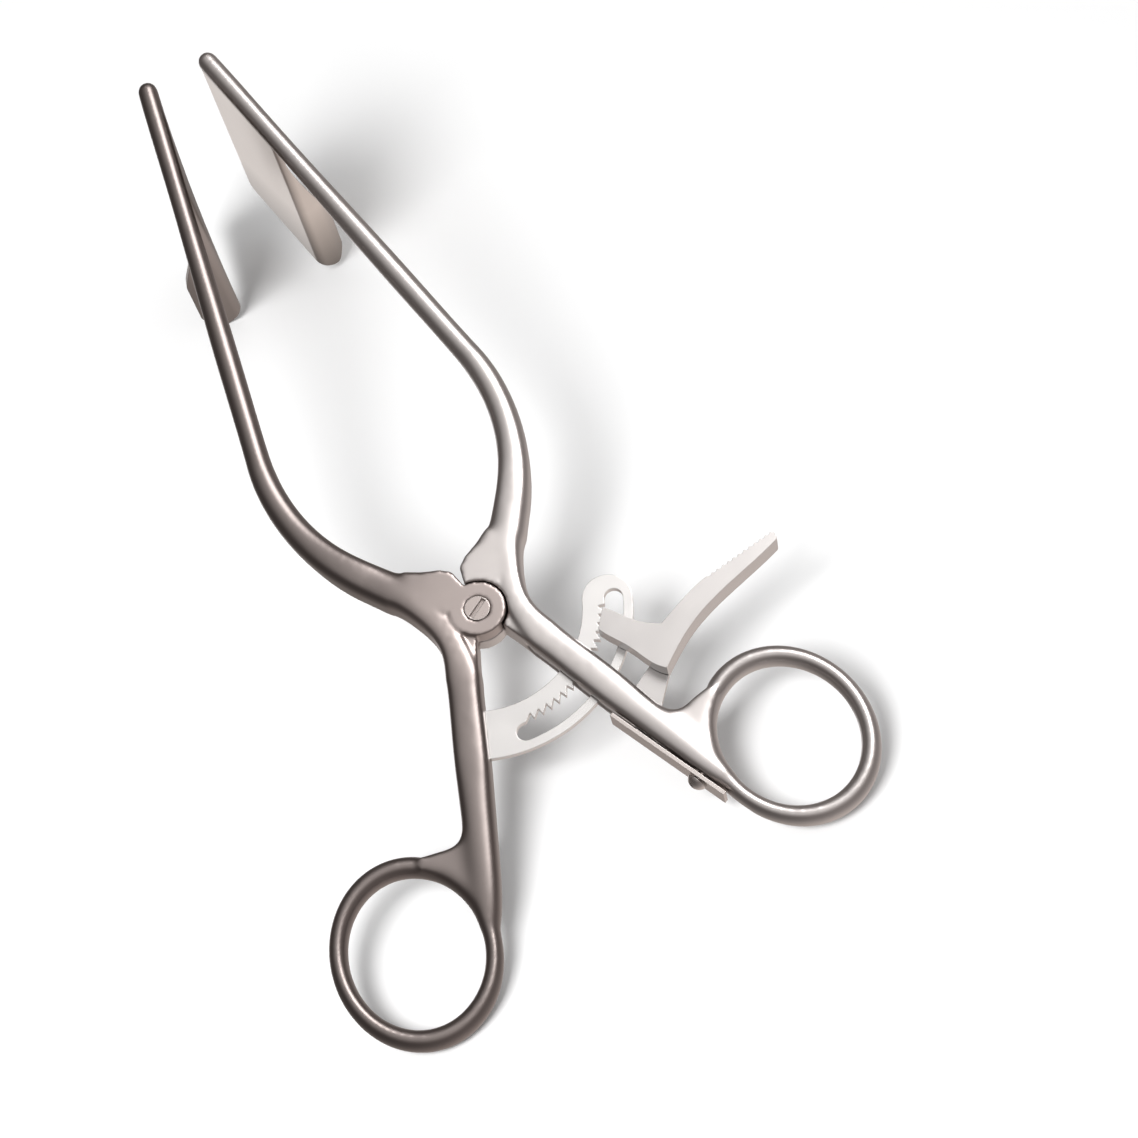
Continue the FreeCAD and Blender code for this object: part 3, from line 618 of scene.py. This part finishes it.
@dataclass
class Blade(Assembly):
    """One blade plate with the braze fillet under its rod.

    Args:
        side: which half it is on.
        body: the moving body it belongs to.
        plane: the instrument's plane.
        tip: place of the rod's tip in millimetres, for the right half.
        lean_deg: angle of the rod to the instrument's axis.
        run: where the fillet starts and ends, in millimetres from the tip.
        bead_r: radius of the fillet in millimetres.
        seam: place of the seam outwards and upwards from the rod's middle, in millimetres.
        ripple: pairs of height and rate of the two waves in the bead.
        end_thinness: least value of the parabola, so that the ends don't close to a point.
        rings: number of rings of points along the fillet.
        ring_points: number of points in each ring.
    """

    side: Side = Side.RIGHT
    body: str = ""
    plane: Optional[InstrumentPlane] = None
    tip: tuple[float, float] = (7.36, 149.05)
    lean_deg: float = 10.3
    run: tuple[float, float] = (1.2, 26.4)
    bead_r: float = 0.55
    seam: tuple[float, float] = (-0.62, -2.02)
    ripple: tuple[tuple[float, float], tuple[float, float]] = ((0.05, 41.0), (0.03, 97.0))
    end_thinness: float = 1e-4
    rings: int = 90
    ring_points: int = 20

    def build(self) -> None:
        """Dresses the plate and adds the fillet."""
        super().build()
        bead = self.fillet()
        BRAZE.put_on(bead)
        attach(bead, self.body)
        log.info("built %s", bead.name)

    def fillet(self) -> bpy.types.Object:
        """Sweeps the fillet along the seam between rod and plate.

        The path is a straight line from the blade's tip end to its crease. Each ring of points is a circle whose
        radius is the bead's radius times the fourth root of a parabola that is 0 at both ends and 1 in the middle,
        with a slight ripple of two sine waves.

        Returns:
            The fillet as a new object.
        """
        share = np.linspace(0.0, 1.0, self.rings)[:, None]
        turn = np.linspace(0.0, 2 * np.pi, self.ring_points, endpoint=False)[None, :]
        along = self.run[0] + share * (self.run[1] - self.run[0])
        thick = np.clip(4 * share * (1 - share), self.end_thinness, 1) ** 0.25
        (broad, broad_rate), (fine, fine_rate) = self.ripple
        ripple = 1 + broad * np.sin(share * broad_rate) + fine * np.sin(share * fine_rate + 1)
        radius = self.bead_r * thick * ripple
        out = self.seam[0] + radius * np.cos(turn)
        up = self.seam[1] + radius * np.sin(turn)
        lean = math.radians(self.lean_deg)
        x = self.tip[0] + along * math.sin(lean) + out * math.cos(lean)
        y = self.tip[1] - along * math.cos(lean) + out * math.sin(lean)
        points = np.stack([self.side.value * x, y, up + 0 * x], axis=-1)
        return grid_mesh(f"{self.side.name.lower()}_braze_fillet", self.plane.place(points))


@dataclass
class Studio:
    """Floor, lights, world and camera.

    Args:
        plane: the instrument's plane, in which the camera was solved.
        tilt_deg: angle between the view and the plane's normal.
        down_deg: direction in the picture that is downhill on the plane.
        axis_deg: direction of the instrument's axis on the plane.
        focal_px: focal length in the photograph's pixels.
        frame_px: side of the square photograph in pixels.
        sensor_mm: width of the camera's sensor.
        clip: nearest and farthest distance that the camera sees, in metres.
        pivot_cam: place of the pivot in the camera's frame in millimetres, right, down and forward.
        pivot_top: height of the seen end of the pivot over the mid plane, in millimetres.
        floor_half: half the side of the floor in metres.
        floor_colour: colour of the floor.
        floor_rough: roughness of the floor.
        floor_specular: specular level of the floor.
        floor_light: strength of the even light on the floor.
        side_share: strength of the room on the camera's left and on its right.
        side_span: how far left and right these shares are reached, as parts of 1.
        lamps: each lamp that mirrors show, as its direction right, up and back from the camera, the angles in degrees
            within which it is full and beyond which it is dark, and its strength.
        lamp_colour: colour of those lamps.
        boxes: each soft box, as its name, its direction right, up and back, its size in metres and its power.
        box_distance: distance of the boxes from the instrument in metres.
        target_mm: place on the instrument's plane at which the boxes point.
        room: colours of the room by how far up a direction points, from 0 straight down to 1 straight up.
    """

    plane: InstrumentPlane
    tilt_deg: float = 24.0
    down_deg: float = 73.2
    axis_deg: float = -77.8
    focal_px: float = 3000.0
    frame_px: float = 1138.0
    sensor_mm: float = 36.0
    clip: tuple[float, float] = (0.01, 20.0)
    pivot_cam: tuple[float, float, float] = (-18.4, 7.8, 600.0)
    pivot_top: float = 4.0
    floor_half: float = 3.0
    floor_colour: tuple[float, float, float, float] = (0.93, 0.93, 0.93, 1.0)
    floor_rough: float = 0.8
    floor_specular: float = 0.1
    floor_light: float = 0.50
    side_share: tuple[float, float] = (0.75, 1.9)
    side_span: tuple[float, float] = (-0.7, 0.5)
    lamps: tuple[tuple[tuple[float, float, float], float, float, float], ...] = (
        ((0.18, 0.84, 0.51), 5.0, 22.0, 6.2),
        ((-0.42, -0.04, -0.906), 4.0, 15.0, 0.75),
    )
    lamp_colour: tuple[float, float, float, float] = (1.0, 0.985, 0.975, 1.0)
    boxes: tuple[tuple[str, tuple[float, float, float], float, float], ...] = (
        ("key_box", (-0.42, 0.04, 0.90), 0.50, 11.4),
        ("fill_box", (0.3, 0.9, 0.6), 0.8, 0.6),
    )
    box_distance: float = 1.1
    target_mm: tuple[float, float, float] = (0.0, 40.0, 0.0)
    room: tuple[tuple[float, tuple[float, float, float]], ...] = (
        (0.0, (0.42, 0.375, 0.35)),
        (0.24, (0.27, 0.245, 0.235)),
        (0.40, (0.19, 0.172, 0.165)),
        (0.68, (0.17, 0.152, 0.146)),
        (0.84, (0.32, 0.295, 0.285)),
        (0.94, (0.66, 0.635, 0.62)),
        (1.0, (0.80, 0.775, 0.76)),
    )

    def build(self) -> None:
        """Builds the whole studio."""
        self.floor()
        camera = self.camera()
        self.world(camera)
        self.lights(camera)

    def camera_axes(self) -> np.ndarray:
        """Finds the camera's own directions in the instrument's frame.

        The instrument's X, Y and Z directions are written in the camera's frame from the tilt of the plane, the
        direction in the picture that is downhill on it, and the direction of the instrument's axis on it. They are
        the columns of the matrix, so its rows are the camera's directions.

        Returns:
            The 3 by 3 matrix whose rows are the camera's right, down and forward directions.
        """
        t, d, a = (math.radians(v) for v in (self.tilt_deg, self.down_deg, self.axis_deg))
        e1 = np.array([-math.sin(d), math.cos(d), 0.0])
        e2 = np.array([math.cos(d) * math.cos(t), math.sin(d) * math.cos(t), -math.sin(t)])
        n = np.array([-math.cos(d) * math.sin(t), -math.sin(d) * math.sin(t), -math.cos(t)])
        y = math.cos(a) * e1 + math.sin(a) * e2
        x = math.sin(a) * e1 - math.cos(a) * e2
        return np.stack([x, y, n], axis=1)

    def camera(self) -> bpy.types.Object:
        """Makes the camera that sees the instrument as the photograph does.

        Returns:
            The camera object.
        """
        axes = self.camera_axes()
        eye_mm = -axes.T @ np.asarray(self.pivot_cam) + np.array([0.0, 0.0, self.pivot_top])
        eye = self.plane.place(eye_mm)
        to_row = self.plane.matrix()
        right, down, forward = (to_row @ row for row in axes)
        data = bpy.data.cameras.new("photo_camera")
        data.sensor_width = self.sensor_mm
        data.lens = self.sensor_mm * self.focal_px / self.frame_px
        data.clip_start, data.clip_end = self.clip
        obj = bpy.data.objects.new("photo_camera", data)
        turn = Matrix((right, -down, -forward)).transposed().to_4x4()
        obj.matrix_world = Matrix.Translation(Vector(eye)) @ turn
        bpy.context.scene.collection.objects.link(obj)
        bpy.context.scene.camera = obj
        log.info("camera at %s", [round(v, 3) for v in eye])
        return obj

    def floor(self) -> None:
        """Makes the pale floor, a wide flat square."""
        line = np.linspace(-self.floor_half, self.floor_half, 3)
        across, along = np.meshgrid(line, line, indexing="ij")
        grid = np.stack([across, along, np.zeros_like(across)], axis=-1)
        mesh_obj = grid_mesh("floor", grid[:, ::-1], closed_round=False, capped=False)
        mat = bpy.data.materials.new("floor_white")
        mat.use_nodes = True
        shader = mat.node_tree.nodes["Principled BSDF"]
        shader.inputs["Base Color"].default_value = self.floor_colour
        shader.inputs["Roughness"].default_value = self.floor_rough
        shader.inputs["Specular IOR Level"].default_value = self.floor_specular
        mesh_obj.data.materials.append(mat)
        mesh_obj.visible_glossy = False

    def world(self, camera: bpy.types.Object) -> None:
        """Sets the surroundings: even light for the floor, and for mirrors a room with a ceiling and round lamps.

        The room that shows in polished steel depends on how far a direction points up: pale floor below, a dark band
        round the horizon, a soft rise and one wide ceiling. Round soft lamps are added to it: the light of each falls
        from its full strength to 0 as the cosine of the angle to its middle goes from one value to a smaller one.

        Args:
            camera: the photo camera, from whose directions the lamps are placed.
        """
        world = bpy.data.worlds.new("studio_world")
        bpy.context.scene.world = world
        world.use_nodes = True
        tree = world.node_tree
        tree.nodes.clear()
        n = Nodes(tree)
        path = n.add("ShaderNodeLightPath")
        direction = n.add("ShaderNodeTexCoord").outputs["Generated"]
        up = n.add("ShaderNodeSeparateXYZ", None, Vector=direction).outputs["Z"]
        share = n.ramp(up, -1.0, 1.0, 0.0, 1.0)
        ramp = n.add("ShaderNodeValToRGB", None, Fac=share)
        bands = ramp.color_ramp
        bands.interpolation = "EASE"
        bands.elements[0].position = self.room[0][0]
        bands.elements[0].color = self.room[0][1] + (1.0,)
        bands.elements[1].position = self.room[-1][0]
        bands.elements[1].color = self.room[-1][1] + (1.0,)
        for spot, colour in self.room[1:-1]:
            bands.elements.new(spot).color = colour + (1.0,)
        turn = camera.matrix_world.to_3x3()
        sideways = n.add("ShaderNodeVectorMath", {"operation": "DOT_PRODUCT"}, i0=direction, i1=tuple(turn.col[0]))
        gain = n.ramp(sideways.outputs["Value"], *self.side_span, *self.side_share)
        glow = None
        for aim, narrow, wide, power in self.lamps:
            middle = (turn @ Vector(aim)).normalized()
            facing = n.add("ShaderNodeVectorMath", {"operation": "DOT_PRODUCT"}, i0=direction, i1=tuple(middle))
            rim, core = math.cos(math.radians(wide)), math.cos(math.radians(narrow))
            one = n.ramp(facing.outputs["Value"], rim, core, 0.0, power, smooth=True)
            glow = one if glow is None else n.math("ADD", glow, one)
        plain = n.add("ShaderNodeBackground", None, Color=(1.0, 1.0, 1.0, 1.0), Strength=self.floor_light)
        walls = n.add("ShaderNodeBackground", None, Color=ramp.outputs[0], Strength=gain)
        lamp = n.add("ShaderNodeBackground", None, Color=self.lamp_colour, Strength=glow)
        room = n.add("ShaderNodeAddShader", None, i0=walls.outputs[0], i1=lamp.outputs[0])
        mixed = n.add("ShaderNodeMixShader", None, i0=path.outputs["Is Glossy Ray"])
        tree.links.new(plain.outputs[0], mixed.inputs[1])
        tree.links.new(room.outputs[0], mixed.inputs[2])
        out = n.add("ShaderNodeOutputWorld")
        tree.links.new(mixed.outputs[0], out.inputs["Surface"])

    def lights(self, camera: bpy.types.Object) -> None:
        """Adds the soft boxes that give the floor its shadows, placed from the camera's own directions.

        Args:
            camera: the photo camera.
        """
        turn = camera.matrix_world.to_3x3()
        target = Vector(self.plane.place(np.array(self.target_mm)))
        for name, aim, size, power in self.boxes:
            data = bpy.data.lights.new(name, "AREA")
            data.size = size
            data.energy = power
            obj = bpy.data.objects.new(name, data)
            obj.visible_glossy = False
            place = target + (turn @ Vector(aim)).normalized() * self.box_distance
            facing = (place - target).to_track_quat("Z", "Y").to_matrix().to_4x4()
            obj.matrix_world = Matrix.Translation(place) @ facing
            bpy.context.scene.collection.objects.link(obj)
            log.info("placed %s", name)


def main() -> None:
    """Builds the instrument's looks and the studio, in order."""
    plane = InstrumentPlane.from_joint(frame["joints"], "blade_hinge")
    assemblies: list[Assembly] = [
        Forging(("left_arm_handle",), FORGED_LEFT_PAINTED_LIGHT_AND_SHADE, side=Side.LEFT, body="left_half", plane=plane),
        Forging(("right_arm_handle",), FORGED_RIGHT, side=Side.RIGHT, body="right_half", plane=plane),
        Blade(("left_blade",), BLADE_LEFT_PAINTED_SHADE, side=Side.LEFT, body="left_half", plane=plane),
        Blade(("right_blade",), BLADE_RIGHT_PAINTED_SHADE, side=Side.RIGHT, body="right_half", plane=plane),
        Assembly(("ratchet_rack",), RACK),
        Assembly(("release_lever",), LEVER),
        Assembly(("leaf_spring",), SPRING),
        Assembly(("pivot_screw",), PIVOT),
        Assembly(("rack_rivets", "lever_pin", "spring_screw"), SCREW),
    ]
    for assembly in assemblies:
        assembly.build()
    Studio(plane).build()
    bpy.context.scene.view_settings.view_transform = "Standard"


if __name__ == "__main__":
    main()
